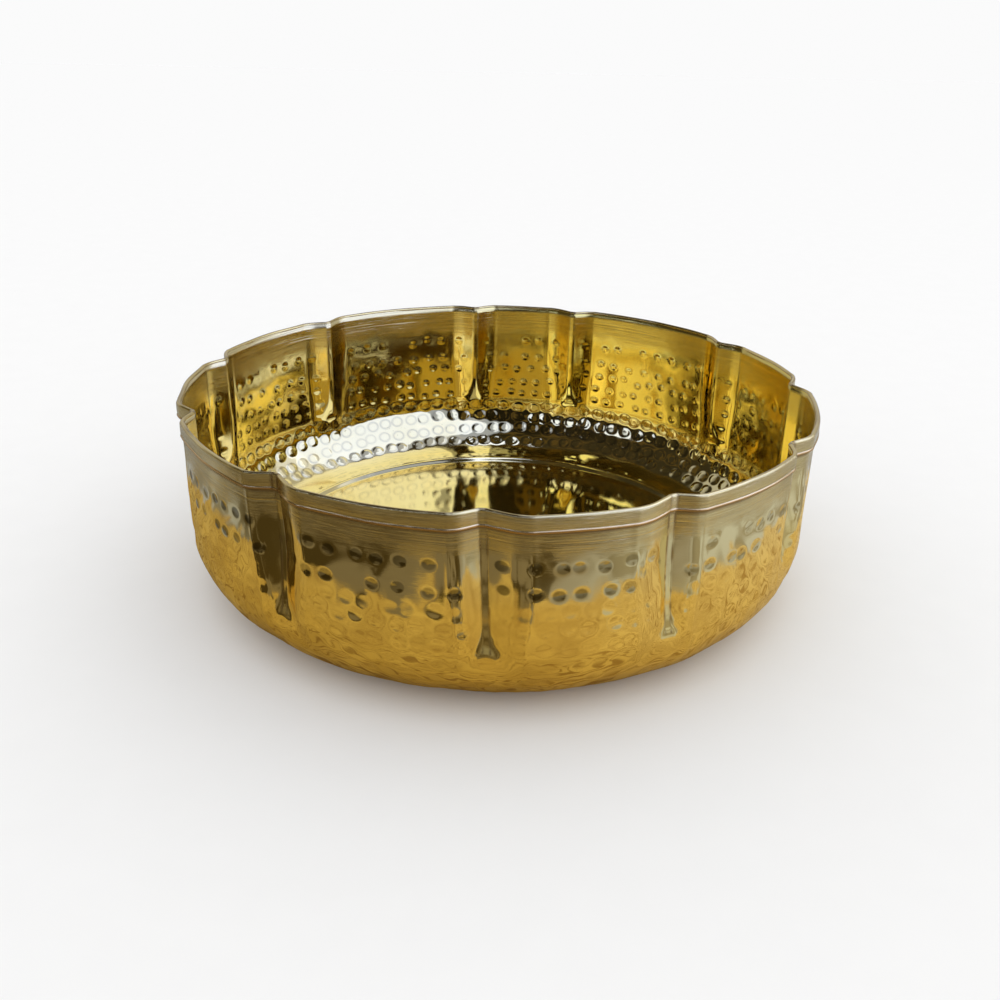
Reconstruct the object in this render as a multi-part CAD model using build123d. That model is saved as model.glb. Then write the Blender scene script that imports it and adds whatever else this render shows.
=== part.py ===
from build123d import *
import os
from math import atan2, cos, radians, sin, tan

# A free-standing sheet-brass bowl with pinched flutes and a banded rim.
# Millimetres and degrees. +Z is up, and the origin is the centre of the face it stands on.
# +Y points away from a person who looks at the bowl's front.

# Driving dimensions
RIM_RADIUS = 127.0      # outer face of the rim band, at the top
HEIGHT = 78.0           # from the standing face to the top of the band
SHEET = 0.9             # thickness of the brass sheet, and of the band's strip
WALL_LEAN = 0.5         # how far the wall leans outward from upright, in degrees
KNUCKLE_RADIUS = 28.0   # outside of the bend between the wall and the floor
RING_RISE = 6.0         # how steeply the ring round the floor disc rises outward, in degrees
DISC_RADIUS = 98.0      # outside of the flat floor disc that the bowl stands on
DISC_STEP = 1.5         # how far the disc is pressed down below the ring
STEP_RUN = 2.4          # how far the step leans outward over its own height

# The rim band
BAND_HEIGHT = 6.0       # its outer leaf, measured from the top
BAND_EDGE_RADIUS = 0.45  # rounding along the top of the band

# The flutes, pinched inward by hand, so their spacing is uneven
FLUTE_ANGLES = (2, 32, 72, 96, 134, 168, 200, 234, 268, 297, 329)
FLUTE_DEPTH = 4.5       # of the crease, below the wall's outer face
FLUTE_WIDTH = 19.0      # across the mouth
CREASE_RADIUS = 1.5     # rounding at the bottom of the crease, on the outer face
FLUTE_FOOT = 24.0       # height of the lower end of the mouth
FLUTE_FOOT_RISE = 7.0   # how much higher the crease ends than the mouth

CLEAR = 10.0            # how far a cutting solid runs past what it cuts


def wall_outline(thickness):
    """Closed half section of everything inside the sheet's outer face, moved inward by a thickness."""
    lean = tan(radians(WALL_LEAN))
    rise = tan(radians(RING_RISE))
    top = HEIGHT + CLEAR
    wall_top = RIM_RADIUS - SHEET + CLEAR * lean
    step_r = DISC_RADIUS + STEP_RUN
    # The wall line and the ring line meet at the corner that the knuckle rounds off.
    corner_r = (wall_top - (top - DISC_STEP + step_r * rise) * lean) / (1 - lean * rise)
    corner_z = DISC_STEP + (corner_r - step_r) * rise
    points = ((0, 0), (DISC_RADIUS, 0), (step_r, DISC_STEP), (corner_r, corner_z), (wall_top, top), (0, top))
    with BuildSketch() as section:
        Polygon(*points, align=None)
        fillet(section.vertices().group_by(Axis.X)[-2], KNUCKLE_RADIUS)
        # Both halves are offset together, so that nothing moves on the axis itself.
        mirror(about=Plane.YZ)
        if thickness:
            offset(amount=-thickness, kind=Kind.INTERSECTION)
        Rectangle(2 * RIM_RADIUS, 2 * top, align=(Align.MIN, Align.MIN), mode=Mode.INTERSECT)
    return section.sketch


def turned(thickness):
    """The solid that the half section sweeps round the bowl's axis."""
    return revolve(Plane.XZ * wall_outline(thickness), Axis.Z)


def flute_wedge(growth):
    """A wedge that presses one flute into the wall at angle zero, grown on all its faces by an amount."""
    half_angle = atan2(FLUTE_WIDTH / 2, FLUTE_DEPTH)
    apex_x = -FLUTE_DEPTH - growth / sin(half_angle)
    mouth_y = (CLEAR - apex_x) * tan(half_angle)
    mouth_radius = RIM_RADIUS - SHEET - (HEIGHT - FLUTE_FOOT) * tan(radians(WALL_LEAN))
    along_wall = Vector(sin(radians(WALL_LEAN)), 0, cos(radians(WALL_LEAN)))
    out_of_wall = Vector(cos(radians(WALL_LEAN)), 0, -sin(radians(WALL_LEAN)))
    base = Plane(origin=(mouth_radius, 0, FLUTE_FOOT), x_dir=out_of_wall, z_dir=along_wall)
    with BuildSketch(base) as triangle:
        Polygon((apex_x, 0), (CLEAR, mouth_y), (CLEAR, -mouth_y), align=None)
        fillet(triangle.vertices().sort_by(Axis.X)[0], CREASE_RADIUS + growth)
    prism = extrude(triangle.sketch, HEIGHT, both=True)
    # The foot slopes from the crease down to the mouth, where the tool stopped.
    slope = Vector(FLUTE_FOOT_RISE, 0, FLUTE_DEPTH).normalized()
    foot_origin = Vector(mouth_radius, 0, FLUTE_FOOT) - slope * growth
    foot = Plane(origin=foot_origin, x_dir=(0, 1, 0), z_dir=slope)
    return split(prism, bisect_by=foot, keep=Keep.TOP)


def fluted(thickness):
    """The turned solid with every flute pressed into it, for the surface that lies this deep in the sheet."""
    wedge = flute_wedge(thickness)
    body = turned(thickness)
    for angle in FLUTE_ANGLES:
        body -= wedge.rotate(Axis.Z, angle)
    return body


def slab(low, high):
    """A slab across the whole bowl between two heights."""
    side = 3 * RIM_RADIUS
    return Pos(0, 0, low) * Box(side, side, high - low, align=(Align.CENTER, Align.CENTER, Align.MIN))


def make_shell(outer, hollow):
    """The sheet itself: wall, knuckle, ring and floor disc, up to its raw edge inside the band."""
    return (outer & slab(0, HEIGHT - SHEET)) - hollow


def make_band(band_face, shell, hollow):
    """The strip that grips the raw edge: an outer leaf against the wall and a rounded cap over the edge."""
    ring = (band_face & slab(HEIGHT - BAND_HEIGHT, HEIGHT)) - hollow - shell
    top_edges = ring.faces().sort_by(Axis.Z)[-1].edges()
    return fillet(top_edges, BAND_EDGE_RADIUS)


outer_face = fluted(0)
inner_face = fluted(SHEET)
bowl_shell = make_shell(outer_face, inner_face)
rim_band = make_band(fluted(-SHEET), bowl_shell, inner_face)

os.makedirs("parts", exist_ok=True)
for name, piece in {"bowl_shell": bowl_shell, "rim_band": rim_band}.items():
    box = piece.bounding_box()
    print(name, "solids", len(piece.solids()), "volume", round(piece.volume), "size", box.size)
    export_step(piece, f"parts/{name}.step")
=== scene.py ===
from math import cos, pi, radians, sin, tan

import bpy
import numpy as np
from mathutils import Matrix, Vector


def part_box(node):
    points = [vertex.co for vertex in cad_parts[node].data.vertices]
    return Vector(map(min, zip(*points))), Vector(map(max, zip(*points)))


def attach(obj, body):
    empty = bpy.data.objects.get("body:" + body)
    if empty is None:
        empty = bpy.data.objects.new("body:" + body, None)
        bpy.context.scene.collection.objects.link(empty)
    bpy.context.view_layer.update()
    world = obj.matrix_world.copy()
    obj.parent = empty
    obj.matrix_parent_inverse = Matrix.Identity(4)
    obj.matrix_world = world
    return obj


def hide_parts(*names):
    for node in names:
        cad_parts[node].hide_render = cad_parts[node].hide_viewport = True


# The looks of a hammered sheet-brass bowl with pinched flutes and a banded rim.
# The scene is in metres. Sizes on the bowl are in millimetres, and MM turns them into metres.

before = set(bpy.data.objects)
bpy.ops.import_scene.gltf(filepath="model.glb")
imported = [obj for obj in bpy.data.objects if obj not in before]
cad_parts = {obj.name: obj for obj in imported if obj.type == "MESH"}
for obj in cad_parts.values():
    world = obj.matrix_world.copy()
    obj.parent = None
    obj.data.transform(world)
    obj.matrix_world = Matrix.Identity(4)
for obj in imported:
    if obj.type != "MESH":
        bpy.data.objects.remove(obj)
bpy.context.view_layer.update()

MM = 0.001
RNG = np.random.default_rng(21)

# The bowl's own dimensions, in millimetres. The rim's radius and height come from the frame.
BAND_LOW, BAND_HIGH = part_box("rim_band")
RIM_RADIUS = -BAND_LOW.x / MM
HEIGHT = BAND_HIGH.z / MM
BAND_FOOT = BAND_LOW.z / MM
SHEET = 0.9
WALL_LEAN = 0.5
KNUCKLE_RADIUS = 28.0
RING_RISE = 6.0
DISC_RADIUS = 98.0
DISC_STEP = 1.5
STEP_RUN = 2.4
STEP_INSIDE_RADIUS = 2.4     # rounding where the ring meets the step, on the underside
STEP_OUTSIDE_RADIUS = 2.6    # rounding where the step meets the disc, on the underside
SHELL_TOP = HEIGHT - SHEET   # the raw edge, under the band's cap

# The flutes: plan angle, width of the left and right faces, depth, and how far the foot is off to the
# right of the top. Left is the side that is met first going round anticlockwise.
FLUTES = (
    (2, 9.0, 10.0, 4.6, 0.4),
    (32, 9.5, 9.5, 4.4, -0.5),
    (72, 8.5, 10.5, 4.5, 0.3),
    (96, 8.0, 9.0, 3.9, 0.6),
    (134, 10.0, 9.0, 4.6, 0.5),
    (168, 9.0, 9.5, 4.5, -0.4),
    (200, 10.0, 8.5, 4.7, 0.8),
    (234, 8.0, 11.5, 4.9, 2.3),
    (268, 8.5, 12.0, 4.6, 2.2),
    (297, 12.0, 8.0, 4.6, 1.9),
    (329, 9.0, 10.0, 4.5, 0.8),
)
FLUTE_FLAT = 1.2             # half the width of the tool's mark along the bottom of a flute
FLUTE_FOOT = 21.5            # height of the lower end of the mouth
FLUTE_FOOT_RISE = 11.5       # how much higher the bottom of the flute ends
FLUTE_FOOT_SHARE = 0.78      # share of the depth that is left there
FLUTE_FADE = (28.0, 50.0)    # heights over which a flute grows from that share to its full depth
FOOT_BLEND = 1.3             # roundness of the edge between the bottom and the foot
MOUTH_BLEND = 1.8            # roundness of the mouth's edges
MOUTH_RIDGE = 0.13           # height of the low ridge that the pinching raised round the mouth
RIDGE_AWAY = 1.4             # it stands where the flute's face, carried on, would be this far above the wall
RIDGE_WIDTH = 0.6
CREASE_OUTSIDE = 0.35        # roundness along the bottom of a flute, on the outer face,
CREASE_INSIDE = 0.9          # on the inner face,
CREASE_BAND = 0.55           # and on the band
SHEET_GRIME = 0.45           # width of the brown line on each side of a flute's bottom,
BAND_GRIME = 0.5             # and of the same line on the band
SEAM_ANGLE = 17.0            # the grid's seam, between two flutes

# The hammered dents
ROW_TOP = 59.5               # height of the first row
FIRST_PITCH = 9.0            # from the first row down to the second
ROW_PITCH = 6.8              # from each row to the next below those
ROW_COUNT = 9
CRISP_ROWS = 2               # the clear, deeper rows, struck last
CRISP_DEPTH = 0.15
CRISP_RADIUS = 2.8
CRISP_PITCH = 8.4            # along a row
FIRST_DIMPLE_DEPTH = 0.08    # of the row just below the crisp ones
DIMPLE_DEPTH = 0.145         # of the rows below that
DIMPLE_RADIUS = 2.9
DENT_PITCH = 7.4
PANEL_ROWS = 5               # rows that the flutes interrupt
PANEL_MARGIN = 8.0           # clear of the bottom of a flute
FOOT_MARGIN = 6.0            # the same, where the flutes are shallow
DENT_REACH = 4.0             # no mark of a blow goes further than this
SCALE_ROUND = 0.93           # distances from a mark's middle, round the wall, are scaled by this,
SCALE_DOWN = 1.07            # and those down it by this, so that a mark is a little wide
ROW_SLOPE = 0.9              # most that a row of the panels rises or falls from flute to flute
ROW_SHIFT = 0.5              # most that it is too high or low
CRISP_STRAY = 0.24           # most that a blow strays along its row, as a share of the pitch
STRAY = 0.17                 # the same, below the crisp rows
PANEL_LIFT = 0.45            # typical distance that a blow strays up or down, in the panels
RING_LIFT = 0.4              # and round the knuckle
STRENGTHS = (0.7, 1.15)      # of the blows
MISSED = 0.1                 # share of the crisp rows' blows that never fell

# The bumps that the blows raise inside: height of the button, distances from its middle where the flank
# begins and ends, height and radius of the dome on it, and radius of the ring of painted shade round it
PANEL_BUMP = (0.15, 0.5, 2.3, 0.03, 1.5, 1.5)
KNUCKLE_BUMP = (0.21, 1.7, 3.4, 0.06, 2.2, 2.6)
BUMP_RING_SHADE_WIDTH = 0.5

# The hand-worked unevenness: number of waves, laps round the bowl, lengths down the sheet, and height of each
SWELLS = (26, (5, 34), (28, 90), 0.045)
RIPPLES = (44, (34, 84), (9, 24), 0.003)
DISC_SHARE = 0.10            # share of it that is left on the flat disc
INNER_SHARE = 0.5            # share of it that shows on the inner face

# How fine the grid is
COLUMN_STEP = 0.70           # round the wall, between the flutes
CREASE_STEP = 0.28           # at the bottom of a flute
CREASE_ZONE = 3.0            # how far that reaches to each side
ROW_STEP = 0.62              # down the sheet, among the dents
LINE_STEP = 0.14             # across a pressed line
PLAIN_STEP = 2.5             # down the sheet, elsewhere

# Lines pressed round the wall, as distances down from the raw edge
SCRIBE_OUTSIDE = (9.2,)
SCRIBE_INSIDE = (5.1, 6.4)
SCRIBE_DEPTH = 0.06
SCRIBE_WIDTH = 0.22


# ---------------------------------------------------------------- numbers and curves

def soft_min(a, b, blend):
    """The lower of two values, with a rounded change from one to the other."""
    share = np.clip(0.5 + 0.5 * (b - a) / blend, 0, 1)
    return b + (a - b) * share - blend * share * (1 - share)


def soft_max(a, b, blend):
    """The higher of two values, with a rounded change from one to the other."""
    return -soft_min(-a, -b, blend)


def smoothstep(low, high, value):
    """0 below low, 1 above high, and a smooth rise between."""
    t = np.clip((value - low) / (high - low), 0, 1)
    return t * t * (3 - 2 * t)


def rounded_path(corners, radii, step=0.05):
    """Points close together along straight lines joined by tangent arcs, one radius for each inner corner."""
    corners = [np.array(c, float) for c in corners]
    stops = [corners[0]]
    for before, corner, after, radius in zip(corners, corners[1:], corners[2:], radii):
        inward = (corner - before) / np.linalg.norm(corner - before)
        outward = (after - corner) / np.linalg.norm(after - corner)
        turn = np.arccos(np.clip(inward @ outward, -1, 1))
        side = np.sign(inward[0] * outward[1] - inward[1] * outward[0])
        start = corner - inward * radius * tan(turn / 2)
        middle = start + side * radius * np.array((-inward[1], inward[0]))
        for angle in np.linspace(0, side * turn, max(3, int(radius * turn / step))):
            turned = np.array(((cos(angle), -sin(angle)), (sin(angle), cos(angle))))
            stops.append(middle + turned @ (start - middle))
    stops.append(corners[-1])
    return np.array(stops)


def graded(length, coarse, zones):
    """Positions from 0 to a length, a coarse step apart, and closer inside each (low, high, step) zone."""
    fine = np.linspace(0, length, int(length / 0.02))
    density = np.full(len(fine), 1 / coarse)
    for low, high, step in zones:
        inside = (fine >= low) & (fine <= high)
        density[inside] = np.maximum(density[inside], 1 / step)
    count = np.concatenate(((0,), np.cumsum((density[1:] + density[:-1]) / 2 * np.diff(fine))))
    return np.interp(np.linspace(0, count[-1], int(round(count[-1])) + 1), count, fine)


# ---------------------------------------------------------------- the sheet's section

def wall_radius(z):
    """Radius of the wall's outer face at a height, between the flutes."""
    return RIM_RADIUS - SHEET - (HEIGHT - z) * tan(radians(WALL_LEAN))


def sheet_section():
    """Distance along the outer face from the raw edge to the bowl's centre, with its points and normals."""
    lean, rise = tan(radians(WALL_LEAN)), tan(radians(RING_RISE))
    step_r = DISC_RADIUS + STEP_RUN
    corner_r = (wall_radius(0) + (DISC_STEP - step_r * rise) * lean) / (1 - lean * rise)
    corner_z = DISC_STEP + (corner_r - step_r) * rise
    corners = (
        (wall_radius(SHELL_TOP), SHELL_TOP),
        (corner_r, corner_z),
        (step_r, DISC_STEP),
        (DISC_RADIUS, 0),
        (0, 0),
    )
    path = rounded_path(corners, (KNUCKLE_RADIUS, STEP_INSIDE_RADIUS, STEP_OUTSIDE_RADIUS))
    lengths = np.linalg.norm(np.diff(path, axis=0), axis=1)
    path = path[np.concatenate(((True,), lengths > 1e-6))]
    lengths = lengths[lengths > 1e-6]
    along = np.concatenate(((0,), np.cumsum(lengths)))
    # Normals belong to the middle of each short span, so that an arc turns them evenly.
    spans = np.diff(path, axis=0) / lengths[:, None]
    middles = (along[1:] + along[:-1]) / 2
    return along, path, middles, np.stack((-spans[:, 1], spans[:, 0]), axis=1)


def section_at(distances):
    """Radius, height and outward normal of the outer face at distances from the raw edge."""
    along, path, middles, normals = sheet_section()
    r = np.interp(distances, along, path[:, 0])
    z = np.interp(distances, along, path[:, 1])
    normal = np.stack([np.interp(distances, middles, normals[:, k]) for k in (0, 1)], axis=1)
    return r, z, normal / np.linalg.norm(normal, axis=1)[:, None]


# Where the floor disc begins, along the section from the raw edge
DISC_ARC = float(np.interp(-DISC_RADIUS, -sheet_section()[1][:, 0], sheet_section()[0]))


def grid_rows():
    """Distances from the raw edge at which the grid has a row."""
    total = sheet_section()[0][-1]
    first, last = row_distance(0), row_distance(ROW_COUNT - 1)
    zones = [(first - 5, last + 5, ROW_STEP), (DISC_ARC - 5.0, DISC_ARC + 3.0, 2 * LINE_STEP)]
    zones += [(s - 1, s + 1, LINE_STEP) for s in SCRIBE_OUTSIDE + SCRIBE_INSIDE]
    return graded(total - 1.5, PLAIN_STEP, zones)


def grid_columns():
    """Plan angles at which the grid has a column, closer together at the flutes, in radians."""
    zones = []
    for angle, left, right, _, lean in FLUTES:
        middle = radians((angle - SEAM_ANGLE) % 360) * RIM_RADIUS
        low, high = middle - CREASE_ZONE + min(lean, 0), middle + CREASE_ZONE + max(lean, 0)
        zones.append((low, high, CREASE_STEP))
        zones.append((middle - left - 2, middle + right + 2, 0.7 * COLUMN_STEP))
    around = graded(2 * pi * RIM_RADIUS, COLUMN_STEP, zones)
    return around[:-1] / RIM_RADIUS + radians(SEAM_ANGLE)


# ---------------------------------------------------------------- what is pressed into the sheet

def around_from(theta, angle):
    """Distance round the wall from a plan angle in degrees, positive anticlockwise."""
    return ((theta - radians(angle) + pi) % (2 * pi) - pi) * RIM_RADIUS


def from_flute(theta, z, flute):
    """Distance round the wall from the bottom of a flute, which leans a little between its top and foot."""
    angle, _, _, _, lean = flute
    return around_from(theta, angle) - lean * (HEIGHT - z) / (HEIGHT - FLUTE_FOOT)


def from_crease(theta, z):
    """Distance from the edge of the flat along the bottom of the nearest flute, less than 0 on the flat."""
    every = np.stack([np.abs(from_flute(theta, z, flute)) for flute in FLUTES])
    return every.min(axis=0) - FLUTE_FLAT


def flute_depth(theta, z, blend):
    """How far the flutes press the face inward. Blend is the roundness along their bottoms."""
    pressed = np.zeros(np.broadcast(theta, z).shape)
    ridge = np.zeros_like(pressed)
    share = FLUTE_FOOT_SHARE + (1 - FLUTE_FOOT_SHARE) * smoothstep(*FLUTE_FADE, z)
    for flute in FLUTES:
        _, left, right, depth, _ = flute
        u = from_flute(theta, z, flute)
        reach = np.where(u < 0, left, right)
        beyond = soft_max(np.abs(u) - FLUTE_FLAT, 0 * u, blend * 0.8)
        trough = depth * (share - beyond / (reach - FLUTE_FLAT))
        foot = depth * FLUTE_FOOT_SHARE * (z - FLUTE_FOOT) / FLUTE_FOOT_RISE
        scoop = soft_min(trough, foot, FOOT_BLEND)
        pressed = np.maximum(pressed, soft_max(scoop, 0 * scoop, MOUTH_BLEND))
        ridge = np.maximum(ridge, MOUTH_RIDGE * np.exp(-(((scoop + RIDGE_AWAY) / RIDGE_WIDTH) ** 2)))
    return pressed - ridge


def waves(theta, s, count, turns, lengths, size):
    """The hand-worked unevenness of the sheet: low swells that close on themselves round the bowl."""
    total = np.zeros(np.broadcast(theta, s).shape)
    for _ in range(count):
        laps = RNG.integers(*turns)
        length = RNG.uniform(*lengths)
        start_theta, start_s = RNG.uniform(0, 2 * pi, 2)
        total += size * np.cos(laps * theta + start_theta) * np.cos(2 * pi * s / length + start_s)
    return total


def unevenness(theta, s):
    """Long swells and, on top of them, the small ripples that hammering leaves."""
    return waves(theta, s, *SWELLS) + waves(theta, s, *RIPPLES)


def row_distance(row):
    """How far below the raw edge a row of dents runs."""
    return SHELL_TOP - ROW_TOP + min(row, 1) * FIRST_PITCH + max(row - 1, 0) * ROW_PITCH


def panel_places(row, first, last):
    """Dents of one row between two flutes. The crisp rows are uneven, and miss a blow here and there."""
    crisp = row < CRISP_ROWS
    margin = PANEL_MARGIN if row < PANEL_ROWS - 2 else FOOT_MARGIN
    span = radians(last - first) * RIM_RADIUS - 2 * margin
    count = max(2, int(round(span / (CRISP_PITCH if crisp else DENT_PITCH))) + 1)
    slope, shift = RNG.uniform(-ROW_SLOPE, ROW_SLOPE), RNG.uniform(-ROW_SHIFT, ROW_SHIFT)
    stray = CRISP_STRAY if crisp else STRAY
    places = []
    for k in range(count):
        share = (k + RNG.uniform(-1, 1) * stray) / (count - 1)
        angle = radians(first) + (margin + share * span) / RIM_RADIUS
        lift = slope * (share - 0.5) + shift + RNG.normal(0, PANEL_LIFT)
        strength = RNG.uniform(*STRENGTHS)
        if not crisp or RNG.uniform() > MISSED:
            places.append((row_distance(row) + lift, angle, row, strength))
    return places


def ring_places(row):
    """Dents of one row that goes right round the knuckle."""
    radius = section_at(np.array((row_distance(row),)))[0][0]
    count = int(round(2 * pi * radius / DENT_PITCH))
    start = RNG.uniform(0, 2 * pi)
    places = []
    for k in range(count):
        theta = start + 2 * pi * (k + RNG.uniform(-STRAY, STRAY)) / count
        sway = 0.7 * sin(3 * theta + row) + 0.4 * sin(7 * theta + 2 * row) + RNG.normal(0, RING_LIFT)
        places.append((row_distance(row) + sway, theta % (2 * pi), row, RNG.uniform(*STRENGTHS)))
    return places


def dent_places():
    """(distance from the raw edge, plan angle in radians, row, strength) of every dent."""
    angles = [f[0] for f in FLUTES]
    places = []
    for row in range(PANEL_ROWS):
        for first, last in zip(angles, angles[1:] + [angles[0] + 360]):
            places += panel_places(row, first, last)
    for row in range(PANEL_ROWS, ROW_COUNT):
        places += ring_places(row)
    return places


def outer_dent(distance, row):
    """Profile of one dent on the outer face: a crisp hollow in the crisp rows, and a mere dimple below."""
    if row < CRISP_ROWS:
        return CRISP_DEPTH * np.clip(1 - (distance / CRISP_RADIUS) ** 2, 0, 1) ** 1.6
    depth = FIRST_DIMPLE_DEPTH if row == CRISP_ROWS else DIMPLE_DEPTH
    return depth * np.clip(1 - (distance / DIMPLE_RADIUS) ** 2, 0, 1) ** 1.2


def bump_sizes(row):
    """The sizes of a row's bumps."""
    return PANEL_BUMP if row < PANEL_ROWS else KNUCKLE_BUMP


def inner_bump(distance, row):
    """Profile of the bump that the same blow raises inside: a low button, a little domed."""
    height, flank_start, flank_end, dome, dome_radius, _ = bump_sizes(row)
    button = height * (1 - smoothstep(flank_start, flank_end, distance))
    return button + dome * np.clip(1 - (distance / dome_radius) ** 2, 0, 1)


def bump_ring_shade(distance, row):
    """Painted shade round a bump: a soft ring on its flank."""
    radius = bump_sizes(row)[-1]
    return np.exp(-(((distance - radius) / BUMP_RING_SHADE_WIDTH) ** 2))


def stamp_dents(rows, theta, radius, places, shape):
    """A field over the grid with one mark for each place. Marks that meet don't add up."""
    field = np.zeros((len(rows), len(theta)))
    for s, angle, row, strength in places:
        angle = (angle - theta[0]) % (2 * pi) + theta[0]
        low, high = np.searchsorted(rows, (s - DENT_REACH, s + DENT_REACH))
        r = max(20.0, radius[(low + high) // 2])
        for lap in (-2 * pi, 0, 2 * pi):
            middle = angle + lap
            left, right = np.searchsorted(theta, (middle - DENT_REACH / r, middle + DENT_REACH / r))
            if right > left:
                du = (theta[None, left:right] - angle - lap) * r
                ds = (rows[low:high] - s)[:, None]
                distance = np.hypot(SCALE_ROUND * du, SCALE_DOWN * ds)
                window = field[low:high, left:right]
                np.maximum(window, strength * shape(distance, row), out=window)
    return field


def scribed(rows, theta, lines):
    """Depth of the faint lines pressed round the wall, which come and go along their length."""
    depth = np.zeros((len(rows), len(theta)))
    for number, line in enumerate(lines):
        strength = np.clip(0.5 + np.sin(4 * theta + number) * np.sin(9 * theta + 2 * number), 0.1, 1)
        depth += SCRIBE_DEPTH * np.exp(-(((rows[:, None] - line) / SCRIBE_WIDTH) ** 2)) * strength
    return depth


# ---------------------------------------------------------------- meshes

def mesh_object(name, points, quads, triangles=(), attributes=None):
    """A smooth-shaded mesh object from points in millimetres, with float attributes on its points."""
    mesh = bpy.data.meshes.new(name)
    points = np.asarray(points, float) * MM
    quads = np.asarray(quads, int).reshape(-1, 4)
    triangles = np.asarray(triangles, int).reshape(-1, 3)
    corners = np.concatenate((quads.ravel(), triangles.ravel()))
    starts = np.concatenate((np.arange(len(quads)) * 4, len(quads) * 4 + np.arange(len(triangles)) * 3))
    mesh.vertices.add(len(points))
    mesh.vertices.foreach_set("co", points.astype(np.float32).ravel())
    mesh.loops.add(len(corners))
    mesh.loops.foreach_set("vertex_index", corners.astype(np.int32))
    mesh.polygons.add(len(starts))
    mesh.polygons.foreach_set("loop_start", starts.astype(np.int32))
    mesh.update(calc_edges=True)
    mesh.polygons.foreach_set("use_smooth", np.ones(len(starts), bool))
    for key, values in (attributes or {}).items():
        layer = mesh.attributes.new(key, "FLOAT", "POINT")
        layer.data.foreach_set("value", np.asarray(values, np.float32).ravel())
    mesh.validate()
    piece = bpy.data.objects.new(name, mesh)
    bpy.context.scene.collection.objects.link(piece)
    return piece


def ring_quads(rows, columns, first=0, flip=False):
    """Quads over a grid of points that closes on itself round the bowl."""
    j, i = np.meshgrid(np.arange(rows - 1), np.arange(columns), indexing="ij")
    k = (i + 1) % columns
    corners = (j * columns + i, (j + 1) * columns + i, (j + 1) * columns + k, j * columns + k)
    quads = np.stack(corners, axis=-1).reshape(-1, 4) + first
    return quads[:, ::-1] if flip else quads


def revolved(r, z, theta):
    """Points of a grid from its radius and height, row by row."""
    return np.stack((r * np.cos(theta), r * np.sin(theta), z * np.ones_like(theta)), axis=-1).reshape(-1, 3)


def make_shell():
    """The hammered sheet: outer and inner faces on one grid, closed at the raw edge and at the centre."""
    rows, theta = grid_rows(), grid_columns()
    r, z, normal = section_at(rows)
    t, s = theta[None, :], rows[:, None]
    places = dent_places()
    off_disc = smoothstep(DISC_RADIUS - 1, DISC_RADIUS + 6, r)[:, None]
    swell = unevenness(t, s) * (DISC_SHARE + (1 - DISC_SHARE) * off_disc)
    flute_out = flute_depth(t, z[:, None], CREASE_OUTSIDE)
    flute_in = flute_depth(t, z[:, None], CREASE_INSIDE)
    dents = stamp_dents(rows, theta, r, places, outer_dent)
    bumps = stamp_dents(rows, theta, r, places, inner_bump)
    # A dent on the steep side of a flute was partly beaten out again.
    spared = 1 - 0.75 * smoothstep(0.8, 3.2, flute_out)
    outward = swell - flute_out - dents * spared - scribed(rows, theta, SCRIBE_OUTSIDE)
    inward = INNER_SHARE * swell - flute_in - bumps * spared + scribed(rows, theta, SCRIBE_INSIDE) - SHEET

    def face(offset):
        """The section's points moved along their normals and turned round the bowl."""
        return revolved(r[:, None] + normal[:, :1] * offset, z[:, None] + normal[:, 1:] * offset, t)

    count = len(rows) * len(theta)
    points = np.concatenate((face(outward), face(inward), ((0, 0, 0), (0, 0, SHEET))))
    quads = np.concatenate((
        ring_quads(len(rows), len(theta)),
        ring_quads(len(rows), len(theta), count, flip=True),
        raw_edge(len(theta), count),
    ))
    triangles = centre_fans(len(rows), len(theta))
    attributes = shell_attributes(rows, theta, r, z, places, spared)
    return mesh_object("hammered_shell", points, quads, triangles, attributes)


def raw_edge(columns, second):
    """Quads between the first rows of the outer and inner faces."""
    i = np.arange(columns)
    k = (i + 1) % columns
    return np.stack((i, k, second + k, second + i), axis=1)


def centre_fans(rows, columns):
    """Triangles between the last row of each face and that face's point at the bowl's centre."""
    second = rows * columns
    last = second - columns
    i = np.arange(columns)
    k = (i + 1) % columns
    outer = np.stack((last + i, np.full_like(i, 2 * second), last + k), axis=1)
    inner = np.stack((second + last + k, np.full_like(i, 2 * second + 1), second + last + i), axis=1)
    return np.concatenate((outer, inner))


def shell_attributes(rows, theta, r, z, places, spared):
    """What the sheet's material goes by, at every point: outer face, inner face, then the two centres."""
    count = len(rows) * len(theta)
    arc = np.broadcast_to(rows[:, None], (len(rows), len(theta))).ravel()
    heights = z[:, None]
    above_foot = heights > FLUTE_FOOT + 6
    crease = np.exp(-((from_crease(theta[None, :], heights) / SHEET_GRIME) ** 2)) * above_foot
    crisp = [place for place in places if place[2] < CRISP_ROWS]
    crisp_dents = stamp_dents(rows, theta, r, crisp, outer_dent) / CRISP_DEPTH
    bump_ring_shade_field = stamp_dents(rows, theta, r, places, bump_ring_shade) * spared
    # "dent" holds the crisp dents on the outer face, and the rings round the bumps on the inner face. Both
    # carry painted shade.
    return {
        "arc": np.concatenate((arc, arc, (rows[-1], rows[-1]))),
        "inside": np.concatenate((np.zeros(count), np.ones(count), (0, 1))),
        "crease": np.concatenate((crease.ravel(), 0.6 * crease.ravel(), (0, 0))),
        "dent": np.concatenate((crisp_dents.ravel(), bump_ring_shade_field.ravel(), (0, 0))),
    }


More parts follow.
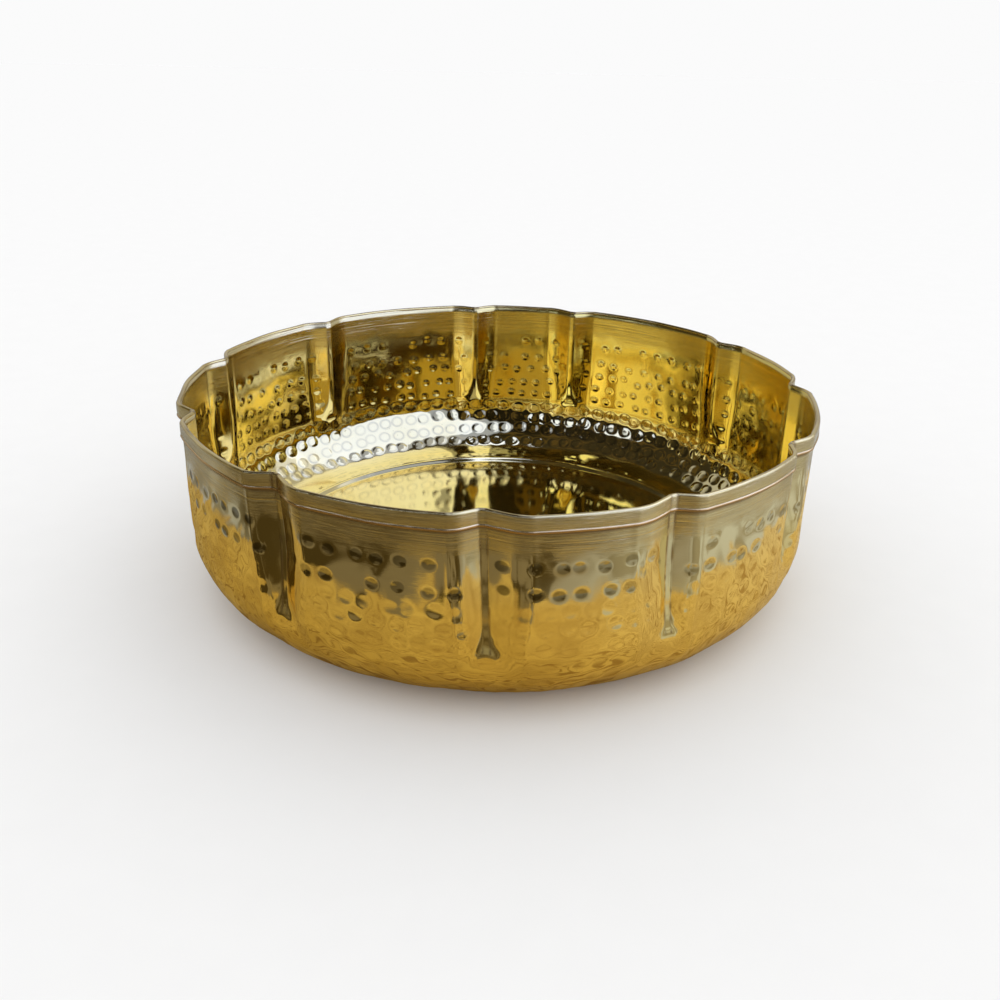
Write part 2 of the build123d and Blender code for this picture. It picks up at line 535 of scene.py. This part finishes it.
def band_section():
    """The strip's section: distance out from the wall's outer face, and height. It goes over the top."""
    cap = [(-SHEET * cos(a), SHELL_TOP + SHEET * sin(a)) for a in np.linspace(0, pi, 11)]
    # The heights in these three lists are above the strip's lower edge.
    face = [(0.95, 3.6), (0.97, 2.4), (0.90, 1.2)]
    lip = [(0.90, 0.98), (1.06, 0.90), (1.14, 0.65), (1.14, 0.35), (1.04, 0.12), (0.85, 0.02)]
    inner_leaf = [(0.40, 0.0), (0.02, 0.05), (0.02, 2.0)]
    leaf = [(a, BAND_FOOT + h) for a, h in face + lip + inner_leaf]
    return cap + leaf + [(0.02, SHELL_TOP)]


def make_band():
    """The rim band, swept round the fluted edge with a rounded top and a thin lip along its lower edge."""
    theta = grid_columns()
    section = np.array(band_section())
    a, h = section[:, :1], section[:, 1:]
    t = theta[None, :]
    depth = flute_depth(t, HEIGHT, CREASE_BAND)
    # The strip's edges were trimmed by hand, so they wander a little.
    low_share = np.clip((SHELL_TOP - h) / (SHELL_TOP - BAND_FOOT), 0, 1)
    wander = 0.13 * np.sin(5 * t + 1.0) + 0.10 * np.sin(13 * t + 2.2) + 0.05 * np.sin(31 * t)
    swell = unevenness(t, np.zeros((1, 1)))
    outward = a - depth + swell
    height = h + wander * (low_share * 1.3 - 0.3)
    points = revolved(wall_radius(h) + outward, height, t)
    quads = ring_quads(len(section), len(theta), flip=True)
    i = np.arange(len(theta))
    k = (i + 1) % len(theta)
    end = (len(section) - 1) * len(theta)
    closing = np.stack((end + i, end + k, k, i), axis=1)
    arc = np.broadcast_to(HEIGHT - h, (len(section), len(theta))).ravel()
    crease = np.exp(-((from_crease(t, HEIGHT) / BAND_GRIME) ** 2))
    crease = np.broadcast_to(crease, (len(section), len(theta))).ravel()
    attributes = {"arc": arc, "crease": crease}
    return mesh_object("banded_rim", points, np.concatenate((quads, closing)), (), attributes)


# ---------------------------------------------------------------- materials

class Graph:
    """Short calls that add linked nodes to one node tree. A value may be a number, a colour or an output."""

    def __init__(self, tree):
        self.tree = tree

    def put(self, socket, value):
        """Link an output to a socket, or set the socket's own value."""
        if isinstance(value, bpy.types.NodeSocket):
            self.tree.links.new(value, socket)
        else:
            socket.default_value = value

    def node(self, kind, **inputs):
        made = self.tree.nodes.new("ShaderNode" + kind)
        for name, value in inputs.items():
            self.put(made.inputs[name.replace("_", " ")], value)
        return made

    def attribute(self, name):
        made = self.tree.nodes.new("ShaderNodeAttribute")
        made.attribute_name = name
        return made.outputs["Fac"]

    def math(self, operation, a, b=0.0):
        made = self.tree.nodes.new("ShaderNodeMath")
        made.operation = operation
        self.put(made.inputs[0], a)
        self.put(made.inputs[1], b)
        return made.outputs[0]

    def rise(self, value, low, high, bottom=0.0, top=1.0):
        """A smooth change from bottom to top while the value goes from low to high."""
        made = self.tree.nodes.new("ShaderNodeMapRange")
        made.interpolation_type = "SMOOTHSTEP"
        for name, number in (("Value", value), ("From Min", low), ("From Max", high),
                             ("To Min", bottom), ("To Max", top)):
            self.put(made.inputs[name], number)
        return made.outputs["Result"]

    def mix(self, share, a, b):
        """Colour a where the share is 0 and colour b where it is 1."""
        made = self.tree.nodes.new("ShaderNodeMix")
        made.data_type = "RGBA"
        self.put(made.inputs["Factor"], share)
        self.put(made.inputs[6], (*a, 1) if isinstance(a, tuple) else a)
        self.put(made.inputs[7], (*b, 1) if isinstance(b, tuple) else b)
        return made.outputs[2]

    def noise(self, vector, scale, detail=2.0, distortion=0.0):
        made = self.node("TexNoise", Vector=vector, Scale=scale, Detail=detail, Distortion=distortion)
        return made.outputs["Fac"]

    def place(self):
        """Where the point is on the object, in metres."""
        return self.tree.nodes.new("ShaderNodeTexCoord").outputs["Object"]

    def split(self, vector):
        return self.node("SeparateXYZ", Vector=vector).outputs

    def joined(self, x, y, z):
        return self.node("CombineXYZ", X=x, Y=y, Z=z).outputs["Vector"]


def new_material(name):
    """A node material's graph and its Principled shader."""
    material = bpy.data.materials.new(name)
    material.use_nodes = True
    return material, Graph(material.node_tree), material.node_tree.nodes["Principled BSDF"]


# The sheet's colours
BRASS = (0.93, 0.77, 0.34)
SMUDGED_BRASS = (0.91, 0.73, 0.29)
PALE_REFLECTION_BRASS = (0.83, 0.74, 0.45)      # outside, towards the rim: in part a painted reflection of a grey room
WARM_REFLECTION_BRASS = (0.92, 0.72, 0.26)      # outside, further down: in part a painted reflection of a warm table
INNER_REFLECTION_YELLOW = (0.98, 0.75, 0.13)      # inside, on the wall: a painted reflection
SHEET_MARKS = (0.45, 0.34, 0.16)     # of the brush
# Painted shade, in the crisp dents and in rings round the bumps inside:
DENT_SHADE = (0.18, 0.15, 0.07)
BUMP_RING_SHADE = (0.40, 0.34, 0.18)
TARNISH_AND_SHADE = (0.22, 0.13, 0.05)         # brown oxide, on the band too, and painted shadow under the band's lip

# The band's colours
BAND_BRASS = (0.91, 0.78, 0.41)
BAND_SMUDGED = (0.87, 0.70, 0.31)
# painted reflection: gold on the band's rounded top, so that its highlight reads gold
BAND_TOP_REFLECTION_GOLD = (0.90, 0.68, 0.22)
BAND_LIP = (0.80, 0.52, 0.20)
BAND_MARKS = (0.38, 0.28, 0.13)      # of the brush
BAND_SCRATCHES = (0.25, 0.17, 0.08)


def round_streaks(g, along, fineness, variety):
    """Marks that run round the bowl: quick to change down the section and slow to change round it."""
    place = g.split(g.place())
    x = g.math("MULTIPLY", place["X"], variety)
    y = g.math("MULTIPLY", place["Y"], variety)
    return g.noise(g.joined(x, y, g.math("MULTIPLY", along, fineness)), 1.0, 3.0)


def hammered_brass():
    """Polished sheet: mirror-bright, smudged, brushed above the first row of dents, brown in the creases."""
    material, g, shader = new_material("hammered_brass_look")
    place = g.place()
    arc, inside, crease, dent = (g.attribute(n) for n in ("arc", "inside", "crease", "dent"))
    outside = g.math("SUBTRACT", 1.0, inside)
    cloud = g.noise(place, 28.0, 3.0, 0.6)
    blotch = g.noise(place, 90.0, 4.0, 1.2)
    streaks = round_streaks(g, arc, 7.0, 45.0)
    # The strip above the first row of dents keeps the marks of the brush.
    wobble = g.math("MULTIPLY", g.math("SUBTRACT", blotch, 0.5), 9.0)
    strip_end = g.math("ADD", arc, wobble)
    brushed = g.rise(strip_end, 10.0, 16.0, 1.0, 0.0)
    upper = g.math("MULTIPLY", outside, g.rise(strip_end, 24.0, 36.0, 1.0, 0.0))
    lower = g.math("MULTIPLY", outside, g.rise(strip_end, 34.0, 60.0))
    colour = g.mix(g.rise(cloud, 0.35, 0.7), BRASS, SMUDGED_BRASS)
    # Painted reflection, in part: the outer wall is paler towards the rim and warmer further down, for the
    # grey room and the warm table that it mirrors.
    colour = g.mix(g.math("MULTIPLY", upper, 0.45), colour, PALE_REFLECTION_BRASS)
    colour = g.mix(g.math("MULTIPLY", lower, 0.6), colour, WARM_REFLECTION_BRASS)
    # Painted reflection: the wall's inside is a deeper yellow, except at the left, for the yellow that the
    # inner walls mirror in each other.
    sideways = g.split(place)["X"]
    deeper = g.math("MULTIPLY", inside, g.rise(sideways, -0.06, 0.04))
    deeper = g.math("MULTIPLY", deeper, g.rise(arc, 48.0, 60.0, 0.8, 0.0))
    colour = g.mix(deeper, colour, INNER_REFLECTION_YELLOW)
    streak_tone = g.math("MULTIPLY", g.rise(streaks, 0.42, 0.62), g.math("MULTIPLY", brushed, 0.5))
    colour = g.mix(streak_tone, colour, SHEET_MARKS)
    # Brown oxide along the creases and in specks. Under the band, oxide and a painted shadow.
    under_band = g.math("MULTIPLY", outside, g.rise(arc, 5.5, 6.9, 1.0, 0.0))
    oxide_and_band_shade = g.math("MAXIMUM", g.math("MULTIPLY", crease, g.rise(blotch, 0.38, 0.62)), under_band)
    specks = g.rise(g.noise(place, 1400.0, 1.0), 0.74, 0.80)
    specks = g.math("MULTIPLY", specks, g.rise(cloud, 0.45, 0.6))
    # Painted shade: the crisp dents are darkened, less at the right. Inside, a ring of painted shade goes
    # round each bump.
    dent_shade = g.math("MULTIPLY", g.rise(dent, 0.1, 0.45), g.rise(cloud, 0.40, 0.56, 0.5, 0.9))
    dent_shade = g.math("MULTIPLY", dent_shade, g.rise(sideways, 0.0, 0.07, 1.0, 0.4))
    colour = g.mix(g.math("MULTIPLY", dent_shade, outside), colour, DENT_SHADE)
    painted_bump_rings = g.math("MULTIPLY", g.math("MULTIPLY", dent, inside), g.rise(cloud, 0.35, 0.6, 0.35, 0.60))
    colour = g.mix(painted_bump_rings, colour, BUMP_RING_SHADE)
    oxide_and_shade = g.math("MAXIMUM", g.math("MULTIPLY", oxide_and_band_shade, 0.8), specks)
    colour = g.mix(oxide_and_shade, colour, TARNISH_AND_SHADE)
    g.put(shader.inputs["Base Color"], colour)
    shader.inputs["Metallic"].default_value = 1.0
    rough = g.math("ADD", g.rise(cloud, 0.35, 0.75, 0.04, 0.10), g.math("MULTIPLY", brushed, 0.10))
    g.put(shader.inputs["Roughness"], g.math("ADD", rough, g.math("MULTIPLY", oxide_and_shade, 0.25)))
    mark_depth = g.math("ADD", g.math("MULTIPLY", brushed, 0.8), 0.05)
    height = g.math("ADD", g.math("MULTIPLY", streaks, mark_depth), g.math("MULTIPLY", blotch, 0.10))
    relief = g.node("Bump", Height=height, Strength=0.5, Distance=0.00012)
    g.put(shader.inputs["Normal"], relief.outputs["Normal"])
    return material


def brushed_brass():
    """The band: paler metal under marks of the brush that run round it, with brown oxide and painted shadow
    along its lower edge.
    """
    material, g, shader = new_material("brushed_brass_look")
    place = g.place()
    arc, crease = g.attribute("arc"), g.attribute("crease")
    cloud = g.noise(place, 35.0, 3.0, 0.8)
    streaks = round_streaks(g, arc, 9.0, 38.0)
    fine = round_streaks(g, arc, 26.0, 90.0)
    colour = g.mix(g.rise(cloud, 0.35, 0.7), BAND_BRASS, BAND_SMUDGED)
    # Painted reflection: the band's rounded top is tinted gold, so that the highlight along it reads gold.
    colour = g.mix(g.rise(arc, 0.5, 1.4, 0.7, 0.0), colour, BAND_TOP_REFLECTION_GOLD)
    colour = g.mix(g.math("MULTIPLY", g.rise(streaks, 0.45, 0.66), 0.55), colour, BAND_MARKS)
    scratches = g.math("MULTIPLY", g.rise(fine, 0.60, 0.68), g.rise(cloud, 0.42, 0.6, 0.15, 0.8))
    colour = g.mix(scratches, colour, BAND_SCRATCHES)
    # Oxide and painted shadow along the band's lower edge, and oxide along the creases.
    edge = g.math("MULTIPLY", g.rise(arc, 5.35, 5.75), g.rise(cloud, 0.4, 0.6, 0.3, 0.8))
    colour = g.mix(g.rise(arc, 4.9, 5.15), colour, BAND_LIP)
    oxide_and_band_shade = g.math("MAXIMUM", edge, g.math("MULTIPLY", crease, g.rise(cloud, 0.4, 0.6, 0.2, 0.8)))
    colour = g.mix(oxide_and_band_shade, colour, TARNISH_AND_SHADE)
    g.put(shader.inputs["Base Color"], colour)
    shader.inputs["Metallic"].default_value = 1.0
    rough = g.rise(streaks, 0.3, 0.7, 0.10, 0.20)
    g.put(shader.inputs["Roughness"], g.math("ADD", rough, g.math("MULTIPLY", oxide_and_band_shade, 0.2)))
    height = g.math("ADD", streaks, g.math("MULTIPLY", fine, 0.6))
    relief = g.node("Bump", Height=height, Strength=0.5, Distance=0.0001)
    g.put(shader.inputs["Normal"], relief.outputs["Normal"])
    return material


# ---------------------------------------------------------------- camera, light and floor

CAMERA_DISTANCE = 0.4197     # from the middle of the rim
CAMERA_ELEVATION = 18.33     # how far above level it stands, as seen from there
CAMERA_PITCH = 22.2          # how far it looks down
CAMERA_YAW = 0.14
CAMERA_ROLL = 1.13
CAMERA_LENS = 36.7
CAMERA_SHIFT = -0.05


def make_camera():
    """The camera, in front of the bowl and a little above its rim."""
    elevation, pitch, yaw, roll = (
        radians(a) for a in (CAMERA_ELEVATION, CAMERA_PITCH, CAMERA_YAW, CAMERA_ROLL)
    )
    forward = Vector((sin(yaw) * cos(pitch), cos(yaw) * cos(pitch), -sin(pitch)))
    level_right = Vector((cos(yaw), -sin(yaw), 0))
    level_up = level_right.cross(forward)
    right = level_right * cos(roll) + level_up * sin(roll)
    up = level_up * cos(roll) - level_right * sin(roll)
    data = bpy.data.cameras.new("camera")
    data.lens, data.sensor_width, data.shift_y = CAMERA_LENS, 36, CAMERA_SHIFT
    camera = bpy.data.objects.new("camera", data)
    bpy.context.scene.collection.objects.link(camera)
    camera.matrix_world = Matrix((right, up, -forward)).transposed().to_4x4()
    camera.location = (
        0,
        -CAMERA_DISTANCE * cos(elevation),
        BAND_HIGH.z + CAMERA_DISTANCE * sin(elevation),
    )
    bpy.context.scene.camera = camera


def softbox(name, place, aim, size, radiance, colour=(1, 1, 1)):
    """A rectangular soft light of an even brightness, which faces a point and isn't seen directly."""
    data = bpy.data.lights.new(name, "AREA")
    data.shape = "RECTANGLE"
    data.size, data.size_y = size
    data.energy = radiance * size[0] * size[1] * pi
    data.color = colour
    lamp = bpy.data.objects.new(name, data)
    bpy.context.scene.collection.objects.link(lamp)
    facing = (Vector(aim) - Vector(place)).to_track_quat("-Z", "Y").to_matrix()
    lamp.matrix_world = facing.to_4x4()
    lamp.location = place
    lamp.visible_camera = False
    return lamp


SURROUND = 1.12              # brightness of the white surround that lights the floor
FLOOR_PALE = 0.86
TABLE_EDGE = 0.196           # how far the warm tone in the metal's reflections reaches
SKYLIGHT = (0.88, 1.10, 2.35)  # blue daylight, which one bounce off the brass turns nearly white

# The daylight that the metal mirrors: place, size and brightness of each part
AIM = (0, 0, 0.05)
DAYLIGHT = {
    "window": ((0.65, -0.25, 0.60), (1.25, 1.4), 0.72),
    "bright_wall": ((0.72, -0.28, 0.66), (1.9, 2.0), 0.40),
    "pane": ((0.02, 0.30, 1.0), (0.12, 0.30), 1.3),
    "front_pane": ((-0.55, -0.79, 0.75), (0.24, 0.24), 1.2),
    "left_pane": ((-0.86, -0.44, 0.75), (0.24, 0.24), 1.2),
}

# The tones that the metal mirrors in the floor
TABLE_WARM = (0.62, 0.45, 0.15)
TABLE_DEEP = (0.50, 0.35, 0.11)
TABLE_RIGHT = (0.58, 0.47, 0.27)
TABLE_GRAIN = (0.27, 0.16, 0.05)
PALE_GREY = (0.43, 0.45, 0.50)
DARK_GREY = (0.26, 0.24, 0.20)
PALE_BROWN = (0.21, 0.17, 0.11)
DARK_BROWN = (0.065, 0.045, 0.015)
FAR_FLOOR = (0.25, 0.23, 0.19)

# The tones that it mirrors in the room
ROOM_FRONT = (0.012, 0.010, 0.006)
ROOM_BACK = (0.035, 0.030, 0.020)
ROOM_THINGS = (0.08, 0.058, 0.025)
ROOM_LOW = (0.26, 0.24, 0.20)
ROOM_WALL = (0.46, 0.48, 0.60)


def table_tone(g, place, xyz):
    """The warm grained tone that the metal mirrors close to the bowl."""
    stretched = g.joined(g.math("MULTIPLY", xyz["X"], 9.0), g.math("MULTIPLY", xyz["Y"], 55.0), 0.0)
    lines = g.noise(stretched, 1.0, 2.0, 0.5)
    grain = g.rise(g.math("SINE", g.math("MULTIPLY", lines, 160.0)), 0.3, 0.95)
    soft = g.rise(g.noise(place, 30.0, 2.0), 0.35, 0.65)
    warm = g.mix(soft, TABLE_WARM, TABLE_DEEP)
    warm = g.mix(g.rise(xyz["X"], -0.02, 0.22), warm, TABLE_RIGHT)
    return g.mix(g.math("MULTIPLY", grain, 0.85), warm, TABLE_GRAIN)


def beyond_table_tone(g, place, xyz, distance):
    """What the metal mirrors past that: brown at the front left, neutral patches elsewhere, dim far off."""
    front_left = g.math("ADD", g.math("MULTIPLY", xyz["X"], -0.42), g.math("MULTIPLY", xyz["Y"], -0.91))
    front_left = g.rise(front_left, 0.12, 0.19)
    patches = g.rise(g.noise(place, 20.0, 2.0, 1.0), 0.47, 0.55)
    neutral = g.mix(patches, PALE_GREY, DARK_GREY)
    brown = g.mix(patches, PALE_BROWN, DARK_BROWN)
    tone = g.mix(front_left, neutral, brown)
    return g.mix(g.rise(distance, 0.34, 0.70), tone, FAR_FLOOR)


def make_floor():
    """A wide pale floor, which the metal mirrors as a warm table with a dimmer room past its edge."""
    size = 6.0
    corners = [(x, y, 0) for x, y in ((-size, -size), (size, -size), (size, size), (-size, size))]
    floor = mesh_object("floor", np.array(corners) / MM, [(0, 1, 2, 3)])
    material, g, shader = new_material("pale_floor")
    place = g.place()
    xyz = g.split(place)
    low, high = FLOOR_PALE - 0.01, FLOOR_PALE + 0.01
    pale = g.mix(g.noise(place, 60.0), (low, low, low), (high, high, high))
    away = g.node("VectorMath", Vector=place)
    away.operation = "LENGTH"
    ragged = g.math("MULTIPLY", g.math("SUBTRACT", g.noise(place, 40.0, 3.0), 0.5), 0.09)
    distance = g.math("ADD", away.outputs["Value"], ragged)
    past_edge = g.rise(distance, TABLE_EDGE, TABLE_EDGE + 0.008)
    mirrored = g.mix(past_edge, table_tone(g, place, xyz), beyond_table_tone(g, place, xyz, distance))
    # Painted light: what the metal mirrors in the floor grows brighter towards the right, where the window
    # is.
    painted_window_light = g.node("VectorMath", Vector=mirrored)
    painted_window_light.operation = "SCALE"
    g.put(painted_window_light.inputs["Scale"], g.rise(xyz["X"], -0.15, 0.25, 0.85, 1.25))
    path = g.tree.nodes.new("ShaderNodeLightPath")
    g.put(shader.inputs["Base Color"], g.mix(path.outputs["Is Glossy Ray"], pale, painted_window_light.outputs["Vector"]))
    shader.inputs["Roughness"].default_value = 0.9
    shader.inputs["Specular IOR Level"].default_value = 0.0
    floor.data.materials.append(material)


def make_world():
    """An even white surround, as bright as the floor behind it, and the dim room that the metal mirrors."""
    world = bpy.data.worlds.new("studio")
    world.use_nodes = True
    bpy.context.scene.world = world
    g = Graph(world.node_tree)
    path = g.tree.nodes.new("ShaderNodeLightPath")
    white = g.rise(path.outputs["Is Camera Ray"], 0.0, 1.0, SURROUND, SURROUND * FLOOR_PALE)
    surround = g.node("Background", Color=(1.0, 1.0, 1.0, 1), Strength=white)
    around = g.tree.nodes.new("ShaderNodeTexCoord").outputs["Generated"]
    direction = g.split(around)
    # A paler wall behind on the right, and not so high behind on the left.
    right_wall = g.math("ADD", direction["Y"], g.math("MULTIPLY", direction["X"], 0.45))
    right_wall = g.math("MULTIPLY", g.rise(right_wall, 0.50, 0.62), g.rise(direction["X"], -0.05, 0.08))
    not_high = g.rise(direction["Z"], 0.66, 0.78, 1.0, 0.0)
    left_wall = g.math("MULTIPLY", g.rise(direction["Y"], 0.30, 0.42), not_high)
    wall = g.math("MAXIMUM", right_wall, left_wall)
    dark = g.mix(g.rise(direction["Y"], -0.5, 0.1), ROOM_FRONT, ROOM_BACK)
    # Dim warm things stand about in the dark, and it is lighter low down.
    clutter = g.rise(g.noise(around, 6.0, 2.0, 0.4), 0.54, 0.60)
    dark = g.mix(clutter, dark, ROOM_THINGS)
    low_down = g.rise(direction["Z"], 0.10, 0.24, 1.0, 0.0)
    dark = g.mix(low_down, dark, ROOM_LOW)
    room = g.node("Background", Color=g.mix(wall, dark, ROOM_WALL), Strength=1.0)
    mix = g.tree.nodes.new("ShaderNodeMixShader")
    g.put(mix.inputs["Fac"], path.outputs["Is Glossy Ray"])
    g.put(mix.inputs[1], surround.outputs[0])
    g.put(mix.inputs[2], room.outputs[0])
    g.put(world.node_tree.nodes["World Output"].inputs["Surface"], mix.outputs[0])


def make_lights():
    """A bright window to the right, with a wall that it lights and a few small panes, which only the metal
    mirrors, and a gentle light that shapes the shadow."""
    for name, (place, size, radiance) in DAYLIGHT.items():
        lamp = softbox(name, place, AIM, size, radiance, SKYLIGHT)
        lamp.visible_diffuse = False
    glow = softbox("glow", (0.9, -0.5, 1.1), (0, 0, 0), (1.0, 1.0), 0.12)
    glow.visible_glossy = False


make_camera()
bpy.context.scene.view_settings.view_transform = "Standard"
shell = make_shell()
band = make_band()
shell.data.materials.append(hammered_brass())
band.data.materials.append(brushed_brass())
for piece, node, slot in ((shell, "bowl_shell", "hammered_brass"), (band, "rim_band", "brushed_brass")):
    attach(piece, "root")
    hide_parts(node)

make_floor()
make_world()
make_lights()
